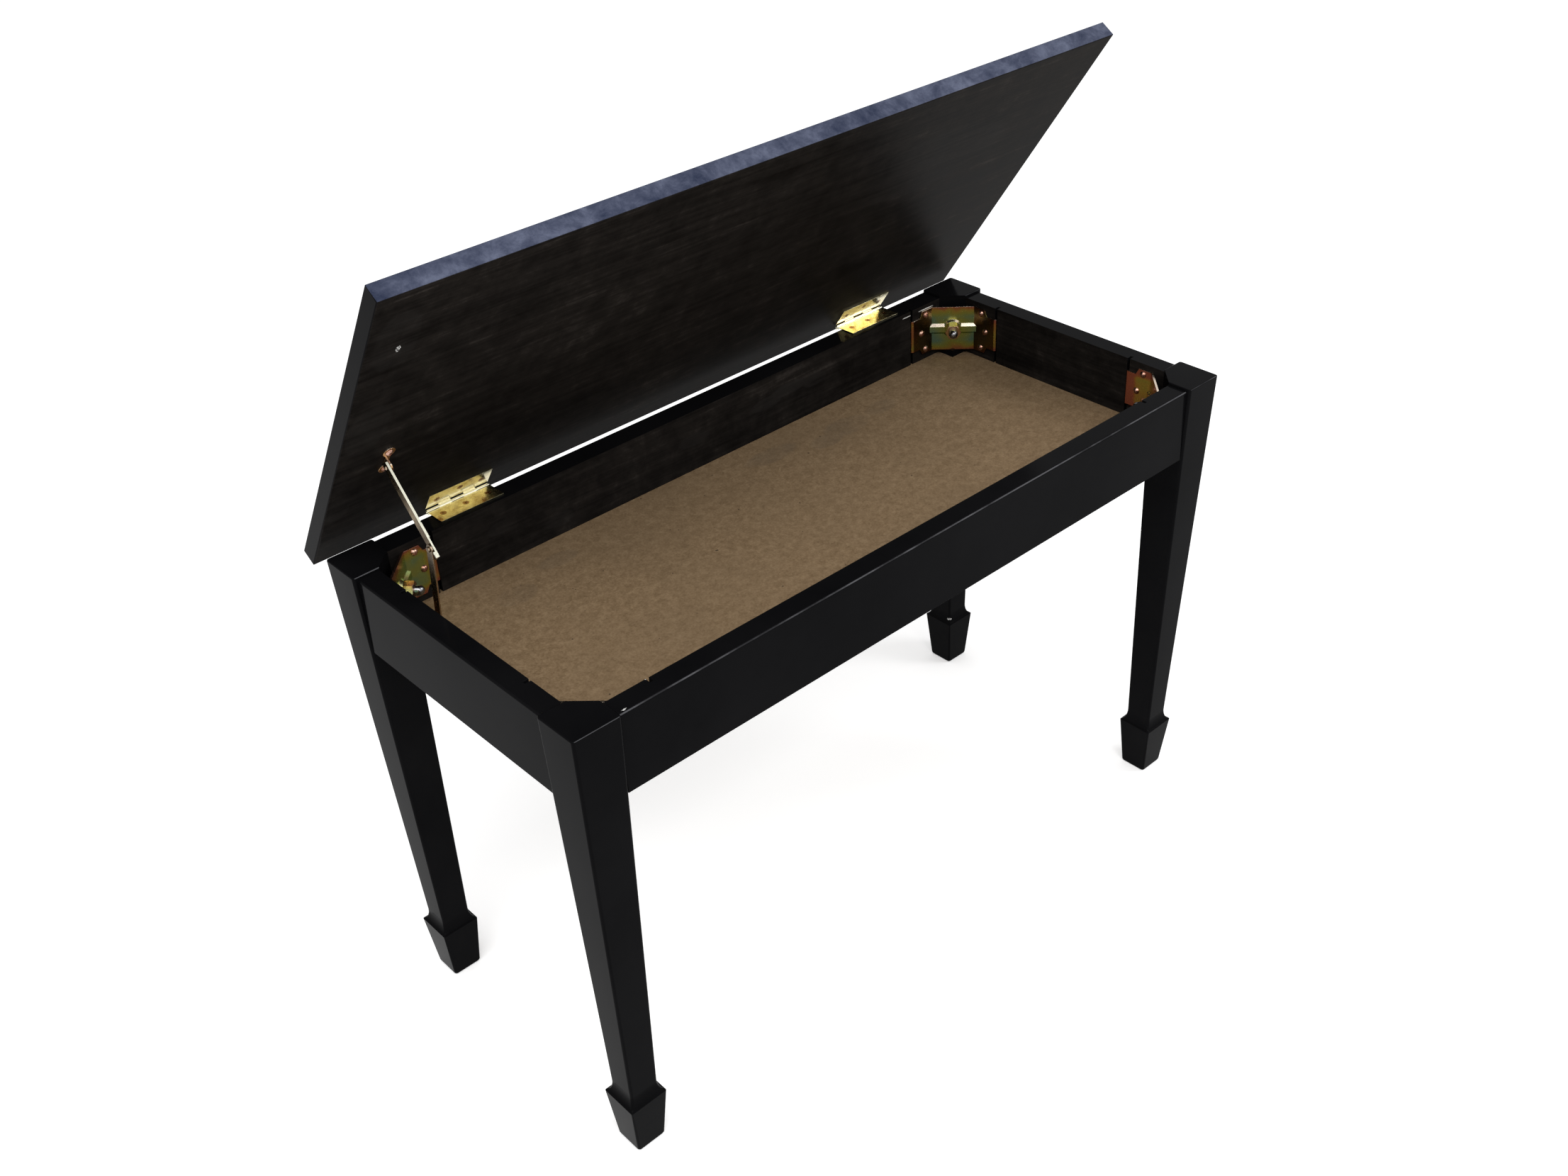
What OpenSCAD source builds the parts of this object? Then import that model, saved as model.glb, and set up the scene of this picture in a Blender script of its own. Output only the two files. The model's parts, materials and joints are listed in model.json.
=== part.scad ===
// Piano bench with a storage compartment under a hinged lid.
// Modelled with the lid propped open, as it stands while music is taken out.
// X runs along the bench, +Y to the hinge side, +Z up, floor at z = 0.

/* [Lid] */
// Length of the lid along the bench
lid_w = 760; // [600:5:900]
// Depth of the lid, front edge to hinge edge
lid_d = 360; // [300:5:420]
// Thickness of the lid
lid_t = 16; // [12:1:25]
// Radius along the lid's edges
lid_edge_r = 1.5; // [0.5:0.5:4]
// Angle at which the stay holds the lid open
lid_open = 55.5; // [45:0.5:65]
// Reach of the lid behind the hinge axis
lid_rear_reach = 11.4; // [6:0.2:16]
// Gap left between the closed lid and the leg tops
lid_seat_gap = 0.3; // [0.3:0.1:1]

/* [Frame] */
// Width over the outer faces of the legs
frame_w = 750; // [600:5:880]
// Depth over the outer faces of the legs
frame_d = 338; // [280:2:400]
// Height of the leg tops above the floor
leg_h = 466; // [420:2:540]
// Height of the rails
rail_h = 72; // [66:1:95]
// Thickness of the rails
rail_t = 20; // [18:1:25]
// Step of the rails behind the outer faces of the legs
rail_setback = 4; // [2:0.5:8]
// Step of the rear rail, which is thicker and stands nearly flush
rear_setback = 0.5; // [0:0.5:4]
// Step of the rail tops below the leg tops
rail_step = 2.5; // [2.5:0.1:3]
// Radius along the upper outer edge of the rails
rail_edge_r = 2; // [0.5:0.5:4]

/* [Legs] */
// Side of the square leg top
leg_top = 43.5; // [40:0.5:60]
// Radius of the long arrises of the legs
leg_round = 2.5; // [1:0.5:5]
// Height of the ankle, where the leg is thinnest
ankle_z = 70; // [60:1:120]
// Width of the leg at the ankle
ankle_w = 28; // [22:0.5:40]
// Inset of the ankle from the outer face of the leg top
ankle_inset = 12.6; // [4:0.2:16]
// Height of the ledge on top of the spade foot
spade_z = 57.5; // [40:0.5:58]
// Width of the spade foot at its ledge
spade_w = 37.4; // [30:0.2:48]
// Inset of the spade ledge from the outer face of the leg top
spade_inset = 8; // [2:0.2:12]
// Width of the spade foot on the floor
foot_w = 29; // [24:0.5:40]
// Inset of the foot on the floor from the outer face of the leg top
foot_inset = 12.8; // [4:0.2:16]
// Bevel round the underside of the foot
foot_bevel = 2.5; // [1:0.5:4]

/* [Bottom panel] */
// Thickness of the hardboard bottom
panel_t = 3; // [3:0.5:6]
// Depth of the compartment below the rail tops
compartment_depth = 61; // [58:0.5:62]
// Depth of the grooves that hold the bottom
groove_depth = 6; // [4:0.5:8]

/* [Corner brackets] */
// Sheet thickness of the brackets
bracket_t = 2; // [1.5:0.1:2.5]
// Height of the brackets
bracket_h = 48; // [46:1:54]
// Distance of the folds from the corner where the rails would meet
bracket_fold = 31.6; // [28:0.2:36]
// Distance of the kerfs in the rails from the same corner
kerf_at = 60; // [56:0.5:64]
// Depth of the lips in the kerfs
lip_depth = 4.5; // [3:0.5:8]
// Height of the bolts below the leg tops
bolt_drop = 32; // [29:0.5:34]
// Diameter of the hanger bolts
bolt_d = 9.5; // [8:0.5:10]
// Width of the hexagon nuts across their flats
nut_af = 14.3; // [13.5:0.1:15.5]
// Shank diameter of the bracket screws
bracket_screw_d = 3.2; // [2.5:0.1:4]

/* [Hinges] */
// Length of the butt hinges
hinge_len = 63.5; // [50:0.5:90]
// Distance of the hinges from the outer faces of the legs
hinge_inset = 100; // [70:5:160]
// Reach of the leaves from the hinge axis
leaf_reach = 24; // [21:0.5:25]
// Thickness of the leaves
leaf_t = 1.1; // [0.9:0.1:1.1]
// Outer diameter of the knuckles
knuckle_d = 5.2; // [4.6:0.1:5.4]
// Distance of the hinge axis behind the rear rail
hinge_back = 6.1; // [5.1:0.2:8.1]
// Shank diameter of the hinge screws
hinge_screw_d = 2.4; // [2:0.1:3]

/* [Lid stay] */
// Sheet thickness of the stay's arms and brackets
stay_t = 1.5; // [1.2:0.1:2]
// Width of the arms
arm_w = 8; // [7.8:0.1:10]
// Width of the flange along the upper arm
flange_w = 2; // [1.8:0.1:3]
// Distance of the upper arm from the inner face of the left rail
stay_standoff = 12.4; // [11:0.1:16]
// Distance of the stay's pivot on the lid from the hinge axis
stay_reach = 124; // [110:1:135]
// Distance of that pivot below the underside of the lid
stay_drop = 6.5; // [6:0.1:8]
// Distance of the foot pivot in front of the hinge axis
foot_reach = 112.6; // [112:0.2:125]
// Distance of the foot pivot below the rail tops
foot_drop = 33.5; // [25:0.5:40]
// Length of the lower arm between its pivots
lower_arm_len = 81; // [70:1:90]
// Forward lean of the lower arm while the lid is open
lower_arm_lean = 6; // [0:0.5:12]
// Diameter of the rivets
rivet_d = 3; // [2.5:0.1:3.4]

/* [Hidden] */

$fn = 48;

// Colours, as the finished bench has them
lacquer = [0.05, 0.05, 0.055];
hardboard = [0.78, 0.63, 0.43];
zinc_yellow = [0.72, 0.62, 0.3];
steel = [0.75, 0.75, 0.74];
brass = [0.85, 0.68, 0.32];
copper = [0.78, 0.47, 0.32];

// Clearances
joint_gap = 0.3;          // between pieces that move past each other
pivot_clearance = 0.05;   // radial, round a pin that something turns on
eps = 0.01;               // overlap of a cut past the face it opens

// Frame, measured from its own centre
half_w = frame_w / 2;
half_d = frame_d / 2;
rail_top = leg_h - rail_step;
rail_bottom = rail_top - rail_h;
inner_x = half_w - rail_setback - rail_t;   // inner faces of the side rails
inner_y = half_d - rail_setback - rail_t;   // inner faces of the front and rear rails
corner_in = rail_setback + rail_t;          // outer leg corner to the rails' inner faces
panel_top = rail_top - compartment_depth;

// Turn of each corner from the front left one, with its side of X and Y
front_left = [-1, -1, 0];
front_right = [1, -1, 90];
rear_right = [1, 1, 180];
rear_left = [-1, 1, 270];
corners = [front_left, front_right, rear_right, rear_left];

// Hinge axis and the lid about it
hinge_y = half_d - rear_setback + hinge_back;
lid_under = leg_h + lid_seat_gap;                // closed lid's underside
hinge_z = rail_top - joint_gap;
lid_lift = lid_under - hinge_z;                  // underside above the hinge axis
knuckle_r = knuckle_d / 2;
pin_r = knuckle_r - leaf_t;
hinge_x = half_w - hinge_inset - hinge_len / 2;  // centre of each hinge
knuckles = 5;
knuckle_len = hinge_len / knuckles;
leaf_screw_in = 9;                               // screws from the ends of a leaf
leaf_screw_at = 13;                              // screws from the hinge axis
lid_mid_screw_at = 16.5;                         // middle screw of the lid's leaf
leaf_screws = [-hinge_len / 2 + leaf_screw_in, 0, hinge_len / 2 - leaf_screw_in];
leaf_screw_r = 3;                                // heads of the hinge screws

// The whole bench is moved so that its box is centred over the origin
lid_rear_y = hinge_y + (lid_rear_reach - lid_edge_r) * cos(lid_open)
    + (lid_lift + lid_t - lid_edge_r) * sin(lid_open) + lid_edge_r;
mid_y = (lid_rear_y - half_d) / 2;

// Lid stay, in the plane of its arms (y, z)
function lid_point(reach, lift) = [hinge_y - reach * cos(lid_open) + lift * sin(lid_open),
    hinge_z + reach * sin(lid_open) + lift * cos(lid_open)];
stay_top = lid_point(stay_reach, lid_lift - stay_drop);
stay_foot = [hinge_y - foot_reach, rail_top - foot_drop];
stay_elbow = stay_foot + lower_arm_len * [-sin(lower_arm_lean), cos(lower_arm_lean)];
upper_arm_run = stay_top - stay_elbow;
upper_arm_len = norm(upper_arm_run);
upper_arm_angle = atan2(upper_arm_run[1], upper_arm_run[0]);
lower_arm_angle = 90 + lower_arm_lean;
upper_arm_x = -inner_x + stay_standoff;          // face of the upper arm's web
lower_arm_x = upper_arm_x - joint_gap - stay_t;
tab_x = upper_arm_x + flange_w + joint_gap;      // tab of the lid bracket
foot_plate_x = lower_arm_x - joint_gap - stay_t; // raised seat of the frame bracket
rivet_r = rivet_d / 2;
rivet_head_r = arm_w / 2 - stay_t - joint_gap;
rivet_head_h = 1.2;
stay_screw_d = 3;
stay_screw_head_r = 3.2;
stay_screw_len = 12;
lobe_r = 5.5;
lobe_pitch = 23;
lobe_x = tab_x + 2;                              // centre of the lid bracket's lobes

// Corner bracket, in the plan of its corner: x and y run inward along the rails
bolt_z = leg_h - bolt_drop;
chamfer = leg_top - corner_in;                   // cut across the inner corner of a leg
leg_face_at = chamfer / sqrt(2);                 // leg's cut face from the corner
plate_at = bracket_fold / sqrt(2);               // bracket's back from the corner
boss_h = 2.5;
boss_r = 8.8;
boss_slope = 1.6;
rib_half = 3.1;
rib_slope = 2.6;
rib_h = 2.4;
fold_r = 2;                                      // inside the folds beside the plate
lip_r = 0.5;                                     // inside the folds at the kerfs
kerf_w = bracket_t + 2 * lip_r;
flange_screw_at = 42;                            // upper and lower screws of a flange
flange_mid_screw_at = 48.3;                      // middle screw
flange_screw_rise = 19.2;
tongue_half = 17.5;
bracket_reach = kerf_at + bracket_t + eps;
notch_at = 46.9;
notch_run = 3.4;
nut_h = 8.3;
bolt_in_leg = 34;
bolt_out = 8;                                    // bolt beyond the nut, with its dome
bolt_seat = plate_at + bracket_t + boss_h;       // face that the nut bears on
bracket_screw_len = 15;
bracket_head_r = 3.5;
bracket_head_h = 2.4;

// Places a child modelled about the centre of the frame
module bench() {
    translate([0, -mid_y, 0]) children();
}

// Places a child modelled about the hinge axis with the lid closed
module on_lid() {
    bench() translate([0, hinge_y, hinge_z]) rotate([-lid_open, 0, 0]) children();
}

// Places a child modelled in a corner: x and y run inward, from the outer leg corner
module at_leg(c) {
    bench() translate([c[0] * half_w, c[1] * half_d, 0]) rotate(c[2]) children();
}

// The same, from the corner where the inner faces of the rails would meet
module at_inner_corner(c) {
    bench() translate([c[0] * inner_x, c[1] * inner_y, 0]) rotate(c[2]) children();
}

// Lays a child's z axis along x
module along_x() {
    rotate([90, 0, 90]) children();
}

// Bar with rounded edges, cut by its three rounded outlines
module rounded_board(size, r) {
    intersection() {
        linear_extrude(size[2]) rounded_rect(size[0], size[1], r);
        translate([0, size[1] / 2, 0]) rotate([90, 0, 0])
            linear_extrude(size[1]) translate([0, size[2] / 2]) rounded_rect(size[0], size[2], r);
        translate([-size[0] / 2, 0, 0]) along_x()
            linear_extrude(size[0]) translate([0, size[2] / 2]) rounded_rect(size[1], size[2], r);
    }
}

// Rectangle about the origin with corners of radius r
module rounded_rect(w, h, r) {
    square([w - 2 * r, h], center = true);
    square([w, h - 2 * r], center = true);
    for (sx = [-1, 1], sy = [-1, 1])
        translate([sx * (w / 2 - r), sy * (h / 2 - r)]) circle(r);
}

// Solid through a list of square sections [low, high, corner radius, height]
function square_section(low, high, r, steps) = [for (k = [0:3], i = [0:steps])
    let (turn = 180 + 90 * k + 90 * i / steps,
         cx = (k == 0 || k == 3) ? low + r : high - r,
         cy = (k < 2) ? low + r : high - r)
    [cx + r * cos(turn), cy + r * sin(turn)]];

module loft(sections, steps) {
    n = 4 * (steps + 1);
    last = len(sections) - 1;
    points = [for (s = sections, p = square_section(s[0], s[1], s[2], steps)) [p[0], p[1], s[3]]];
    sides = [for (i = [0:last - 1], j = [0:n - 1], half = [0, 1])
        let (a = i * n + j, b = i * n + (j + 1) % n)
        half == 0 ? [a, a + n, b + n] : [a, b + n, b]];
    bottom = [for (j = [0:n - 1]) j];
    top = [for (j = [n - 1:-1:0]) last * n + j];
    polyhedron(points, concat([bottom, top], sides), convexity = 4);
}

// Round-head screw seated on z = 0, its shank down -z
module round_head_screw(d, head_r, head_h, length) {
    dome_r = (head_r * head_r + head_h * head_h) / (2 * head_h);
    point = d;
    difference() {
        intersection() {
            translate([0, 0, head_h - dome_r]) sphere(dome_r);
            cylinder(r = head_r, h = head_h);
        }
        cross_recess(head_h, head_r * 1.1);
    }
    translate([0, 0, point - length]) cylinder(d = d, h = length - point);
    translate([0, 0, -length]) cylinder(d1 = 0.4, d2 = d, h = point);
}

// Countersunk screw with its head level with z = 0
module flat_head_screw(d, head_r, length) {
    sink = head_r - d / 2;
    point = d;
    difference() {
        translate([0, 0, -sink]) cylinder(r1 = d / 2, r2 = head_r, h = sink);
        cross_recess(0, head_r);
    }
    translate([0, 0, point - length]) cylinder(d = d, h = length - point - sink);
    translate([0, 0, -length]) cylinder(d1 = 0.4, d2 = d, h = point);
}

// Cross recess of a screw whose head ends at the given height
module cross_recess(top, span) {
    slot = 0.7;
    depth = 0.8;
    for (turn = [0, 90]) rotate(turn)
        translate([-span / 2, -slot / 2, top - depth]) cube([span, slot, depth + eps]);
}

// ---------------------------------------------------------------- lid

lid_screw_depth = 11;

module lid_panel() {
    color(lacquer) on_lid() difference() {
        translate([0, lid_rear_reach - lid_d / 2, lid_lift])
            rounded_board([lid_w, lid_d, lid_t], lid_edge_r);
        for (side = [-1, 1], i = [0:2])
            translate([side * hinge_x + leaf_screws[i], -lid_screw_y(i), lid_lift])
                mirror([0, 0, 1]) hinge_screw_hole();
        for (end = [-1, 1])
            translate([lobe_x, -stay_reach + end * lobe_pitch / 2, lid_lift - eps])
                cylinder(d = stay_screw_d, h = stay_screw_len - stay_t + eps);
    }
}

// Hole for a hinge screw in wood whose surface is z = 0, sunk for the rest of its head
module hinge_screw_hole() {
    sink = leaf_screw_r - leaf_t - hinge_screw_d / 2;
    translate([0, 0, -lid_screw_depth]) cylinder(d = hinge_screw_d, h = lid_screw_depth + eps);
    translate([0, 0, -sink])
        cylinder(r1 = hinge_screw_d / 2, r2 = leaf_screw_r - leaf_t + eps, h = sink + eps);
}

// Distance of a lid screw from the hinge axis: the middle one is staggered
function lid_screw_y(i) = i == 1 ? lid_mid_screw_at : leaf_screw_at;

// ---------------------------------------------------------------- rails

// Rail section: outer face at y = 0, inner face at y = thick, upper outer edge rounded
module rail_section(thick) {
    difference() {
        union() {
            square([thick, rail_h - rail_edge_r]);
            translate([rail_edge_r, 0]) square([thick - rail_edge_r, rail_h]);
            translate([rail_edge_r, rail_h - rail_edge_r]) circle(rail_edge_r);
        }
        translate([thick - groove_depth, panel_top - panel_t - rail_bottom])
            square([groove_depth + eps, panel_t + joint_gap]);
    }
}

// Rail about x = 0, outer face towards -y, with its kerfs and the bracket screws' holes
module rail(length, thick, kerf_x) {
    difference() {
        translate([-length / 2, 0, rail_bottom]) along_x()
            linear_extrude(length) rail_section(thick);
        for (side = [-1, 1]) {
            translate([side * (kerf_x + lip_r - kerf_w / 2) - kerf_w / 2,
                thick - lip_depth - 1, rail_bottom - eps])
                cube([kerf_w, lip_depth + 1 + eps, rail_h + 2 * eps]);
            for (s = flange_screws())
                translate([side * (kerf_x + kerf_at - s[0]), thick + eps, bolt_z + s[1]])
                    rotate([90, 0, 0])
                        cylinder(d = bracket_screw_d, h = bracket_screw_len - bracket_t + eps);
        }
    }
}

// Screws of one bracket flange: distance from the corner and rise from the bolt
function flange_screws() = [[flange_screw_at, flange_screw_rise], [flange_mid_screw_at, 0],
    [flange_screw_at, -flange_screw_rise]];

module front_rail() {
    color(lacquer) bench() translate([0, -half_d + rail_setback, 0])
        rail(frame_w - 2 * leg_top, rail_t, inner_x - kerf_at);
}

module rear_rail() {
    color(lacquer) difference() {
        bench() translate([0, half_d - rear_setback, 0]) rotate(180)
            rail(frame_w - 2 * leg_top, half_d - rear_setback - inner_y, inner_x - kerf_at);
        bench() for (side = [-1, 1], x = leaf_screws)
            translate([side * hinge_x + x, hinge_y - leaf_screw_at, rail_top])
                hinge_screw_hole();
    }
}

module left_rail() {
    color(lacquer) difference() {
        bench() translate([-half_w + rail_setback, 0, 0]) rotate(-90)
            rail(frame_d - 2 * leg_top, rail_t, inner_y - kerf_at);
        bench() for (end = [-1, 1])
            translate([-inner_x - stay_screw_len + stay_t, stay_foot[0] + end * foot_screw_pitch / 2,
                stay_foot[1]])
                along_x() cylinder(d = stay_screw_d, h = stay_screw_len);
    }
}

module right_rail() {
    color(lacquer) bench() translate([half_w - rail_setback, 0, 0]) rotate(90)
        rail(frame_d - 2 * leg_top, rail_t, inner_y - kerf_at);
}

// ---------------------------------------------------------------- legs

// Outer inset and width of the leg at a height above the ankle
function leg_inset(z) = ankle_inset * (leg_h - z) / (leg_h - ankle_z);
function leg_inner(z) = z >= rail_bottom ? leg_top
    : leg_top - (leg_top - ankle_inset - ankle_w) * (rail_bottom - z) / (rail_bottom - ankle_z);

// Sections of the straight leg, [low, high, radius, height]
function leg_level(z, inset) = [leg_inset(z) + inset, leg_inner(z) - inset, leg_round - inset, z];

// Sections of the cove from the spade's ledge up to the ankle
cove_steps = 7;
ledge_bevel = 0.5;
function cove_level(turn) = let (out = 1 - cos(turn),
    low = ankle_inset - (ankle_inset - spade_inset - ledge_bevel) * out,
    high = ankle_inset + ankle_w
        + (spade_inset + spade_w - ledge_bevel - ankle_inset - ankle_w) * out)
    [low, high, leg_round * (1 - out / 2), ankle_z - (ankle_z - spade_z) * sin(turn)];

leg_top_r = 1.2;
function leg_sections() = concat(
    [[foot_inset + foot_bevel, foot_inset + foot_w - foot_bevel, leg_round / 2, 0],
     [foot_inset + foot_bevel * 0.3, foot_inset + foot_w - foot_bevel * 0.3, leg_round, foot_bevel * 0.3],
     [foot_inset, foot_inset + foot_w, leg_round, foot_bevel],
     [spade_inset, spade_inset + spade_w, leg_round / 2, spade_z - ledge_bevel]],
    [for (i = [cove_steps:-1:0]) cove_level(90 * i / cove_steps)],
    [leg_level(rail_bottom, 0), leg_level(leg_h - leg_top_r, 0),
     leg_level(leg_h - leg_top_r * 0.3, leg_top_r * 0.3), leg_level(leg_h, leg_top_r)]);

// Leg from its outer corner inward, cut across the inner corner behind the bracket
module leg(c) {
    run_out = 14;
    color(lacquer) at_leg(c) difference() {
        loft(leg_sections(), 4);
        translate([0, 0, rail_bottom]) linear_extrude(leg_h - rail_bottom + eps)
            polygon([[leg_top + eps, corner_in], [leg_top + eps, leg_top + eps],
                [corner_in, leg_top + eps]]);
        translate([corner_in, corner_in, bolt_z]) rotate([90, 0, 135])
            translate([0, 0, leg_face_at - bolt_in_leg])
                cylinder(d = bolt_d, h = bolt_in_leg + run_out);
    }
}

module leg_front_left() { leg(front_left); }
module leg_front_right() { leg(front_right); }
module leg_rear_left() { leg(rear_left); }
module leg_rear_right() { leg(rear_right); }

// ---------------------------------------------------------------- bottom

panel_play = 1;                                  // left free at the bottom of the grooves
panel_clear = 1.5;                               // from the legs' cut faces

module bottom_panel() {
    reach = groove_depth - panel_play;
    cut = chamfer + panel_clear + 2 * reach;
    px = inner_x + reach;
    py = inner_y + reach;
    color(hardboard) bench() translate([0, 0, panel_top - panel_t]) linear_extrude(panel_t)
        polygon([[-px + cut, -py], [px - cut, -py], [px, -py + cut], [px, py - cut],
            [px - cut, py], [-px + cut, py], [-px, py - cut], [-px, -py + cut]]);
}

// ---------------------------------------------------------------- corner brackets

// Bent part of a sheet: inner radius r, from the angle start on by the angle turn
module bend(r, start, turn) {
    far = 2 * (r + bracket_t);
    intersection() {
        difference() {
            circle(r + bracket_t);
            circle(r);
        }
        polygon([[0, 0], far * [cos(start), sin(start)],
            far * [cos(start + turn), sin(start + turn)]]);
    }
}

// Plan of one side of the folded strip: half the plate, a flange along x and its lip
module bracket_side() {
    k = kerf_at - lip_r;
    fold_x = bracket_fold + (sqrt(2) - 1) * (fold_r + bracket_t);
    half_plate = (fold_x - fold_r - bracket_t) / sqrt(2);
    rotate(45) translate([plate_at, -half_plate - eps]) square([bracket_t, half_plate + 2 * eps]);
    translate([fold_x, fold_r + bracket_t]) bend(fold_r, -135, 45);
    translate([fold_x - eps, 0]) square([k - fold_x + 2 * eps, bracket_t]);
    translate([k, -lip_r]) bend(lip_r, 0, 90);
    translate([kerf_at, -lip_depth]) square([bracket_t, lip_depth - lip_r + eps]);
}

// Plan of the whole strip, the same on both sides of the corner
module bracket_plan() {
    bracket_side();
    mirror([1, -1]) bracket_side();
}

// Side view of a flange: full height near the fold, a narrower tongue at the kerf
module flange_outline(h) {
    end = bracket_reach;
    polygon([[-lip_depth - 1, -h], [notch_at, -h], [notch_at + notch_run, -tongue_half],
        [end, -tongue_half], [end, tongue_half], [notch_at + notch_run, tongue_half],
        [notch_at, h], [-lip_depth - 1, h]]);
}

// Trapezium that a pressed rib shows at its end
module rib_profile(half, slope, rise) {
    polygon([[-half - slope, -eps], [half + slope, -eps], [half, rise], [-half, rise]]);
}

// Rib across the plate, which runs into the flanges at both ends
module rib(span) {
    intersection() {
        on_plate(bracket_t) translate([-span, 0, 0]) along_x()
            linear_extrude(2 * span) rib_profile(rib_half, rib_slope, rib_h);
        translate([bracket_t / 2, bracket_t / 2, -bracket_h / 2])
            cube([span, span, bracket_h]);
    }
}

module corner_bracket(c) {
    span = bracket_fold * sqrt(2);
    color(zinc_yellow) at_inner_corner(c) translate([0, 0, bolt_z]) difference() {
        union() {
            intersection() {
                translate([0, 0, -bracket_h / 2]) linear_extrude(bracket_h) bracket_plan();
                translate([0, bracket_reach, 0]) rotate([90, 0, 0])
                    linear_extrude(bracket_reach + lip_depth + eps) flange_outline(bracket_h / 2);
                translate([-lip_depth - eps, 0, 0]) along_x()
                    linear_extrude(bracket_reach + lip_depth + eps) flange_outline(bracket_h / 2);
            }
            rib(span);
            on_plate(bracket_t) cylinder(r1 = boss_r + boss_slope, r2 = boss_r, h = boss_h);
        }
        on_plate(0) {
            translate([-span / 2 + bracket_t, 0, 0]) along_x()
                linear_extrude(span - 2 * bracket_t)
                    rib_profile(rib_half - bracket_t / 2, rib_slope, rib_h);
            translate([0, 0, -eps]) cylinder(r1 = boss_r, r2 = boss_r - boss_slope, h = boss_h);
            translate([0, 0, -1]) cylinder(d = bolt_d + 2 * joint_gap, h = bracket_t + boss_h + 2);
        }
        for (s = flange_screws()) {
            translate([s[0], -1, s[1]]) rotate([-90, 0, 0])
                cylinder(d = bracket_screw_d, h = bracket_t + 2);
            translate([-1, s[0], s[1]]) along_x()
                cylinder(d = bracket_screw_d, h = bracket_t + 2);
        }
    }
}

// Frame on the plate across the corner: z out of the plate, x along it, y up
module on_plate(rise) {
    at = plate_at + rise;
    translate([at / sqrt(2), at / sqrt(2), 0]) rotate([90, 0, 135]) children();
}

module corner_bracket_front_left() { corner_bracket(front_left); }
module corner_bracket_front_right() { corner_bracket(front_right); }
module corner_bracket_rear_left() { corner_bracket(rear_left); }
module corner_bracket_rear_right() { corner_bracket(rear_right); }

module hanger_bolts() {
    color(steel) for (c = corners) at_inner_corner(c) translate([0, 0, bolt_z])
        on_plate(0) translate([0, 0, leg_face_at - bolt_in_leg - plate_at]) {
            shank = bolt_in_leg + bolt_seat + nut_h + bolt_out - leg_face_at - bolt_d / 2;
            cylinder(d = bolt_d, h = shank);
            translate([0, 0, shank]) intersection() {
                sphere(d = bolt_d);
                cylinder(d = bolt_d, h = bolt_d);
            }
        }
}

module hex_nuts() {
    nut_r = nut_af / sqrt(3);
    color(zinc_yellow) for (c = corners) at_inner_corner(c) translate([0, 0, bolt_z])
        on_plate(bracket_t + boss_h) difference() {
            intersection() {
                cylinder(r = nut_r, h = nut_h, $fn = 6);
                cylinder(r1 = nut_af / 2 + nut_h * 1.6, r2 = nut_af / 2, h = nut_h);
            }
            translate([0, 0, -1]) cylinder(d = bolt_d, h = nut_h + 2);
        }
}

module bracket_screws() {
    color(copper) for (c = corners) at_inner_corner(c) translate([0, 0, bolt_z])
        for (s = flange_screws()) {
            translate([s[0], bracket_t, s[1]]) rotate([-90, 0, 0])
                round_head_screw(bracket_screw_d, bracket_head_r, bracket_head_h, bracket_screw_len);
            translate([bracket_t, s[0], s[1]]) along_x()
                round_head_screw(bracket_screw_d, bracket_head_r, bracket_head_h, bracket_screw_len);
        }
}

// ---------------------------------------------------------------- hinges

// Leaf along x about the hinge axis: plate to -y from z = low, knuckles at every other place
module hinge_leaf(low, first, bore_r) {
    clear = knuckle_r + joint_gap + 0.1;
    difference() {
        union() {
            translate([-hinge_len / 2, -leaf_reach, low])
                cube([hinge_len, leaf_reach - clear, leaf_t]);
            for (k = [first:2:knuckles - 1])
                translate([-hinge_len / 2 + k * knuckle_len + joint_gap / 2, 0, 0]) {
                    along_x() cylinder(r = knuckle_r, h = knuckle_len - joint_gap);
                    translate([0, -clear - eps, low])
                        cube([knuckle_len - joint_gap, clear, leaf_t]);
                }
        }
        translate([-hinge_len, 0, 0]) along_x() cylinder(r = bore_r, h = 2 * hinge_len);
    }
}

// Countersunk holes through a leaf whose outer face is z = 0 and faces +z
module leaf_holes(middle_at) {
    sink = leaf_screw_r - hinge_screw_d / 2;
    for (i = [0:2])
        translate([leaf_screws[i], i == 1 ? -middle_at : -leaf_screw_at, 0]) {
            translate([0, 0, -sink]) cylinder(r1 = hinge_screw_d / 2, r2 = leaf_screw_r, h = sink);
            translate([0, 0, -leaf_t - 1]) cylinder(d = hinge_screw_d, h = leaf_t + 1);
        }
}

module at_hinge(side) {
    translate([side * hinge_x, 0, 0]) children();
}

module hinge_frame_leaf(side) {
    color(brass) bench() translate([0, hinge_y, hinge_z]) at_hinge(side) difference() {
        hinge_leaf(rail_top - hinge_z, 0, pin_r);
        translate([0, 0, rail_top - hinge_z + leaf_t]) leaf_holes(leaf_screw_at);
    }
}

module hinge_lid_leaf(side) {
    color(brass) on_lid() at_hinge(side) difference() {
        hinge_leaf(lid_lift - leaf_t, 1, pin_r + pivot_clearance);
        translate([0, 0, lid_lift - leaf_t]) mirror([0, 0, 1]) leaf_holes(lid_mid_screw_at);
    }
}

module hinge_pin(side) {
    head = 0.5;
    color(brass) bench() translate([0, hinge_y, hinge_z]) at_hinge(side)
        translate([-hinge_len / 2 - head, 0, 0]) along_x()
            cylinder(r = pin_r, h = hinge_len + 2 * head);
}

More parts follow.
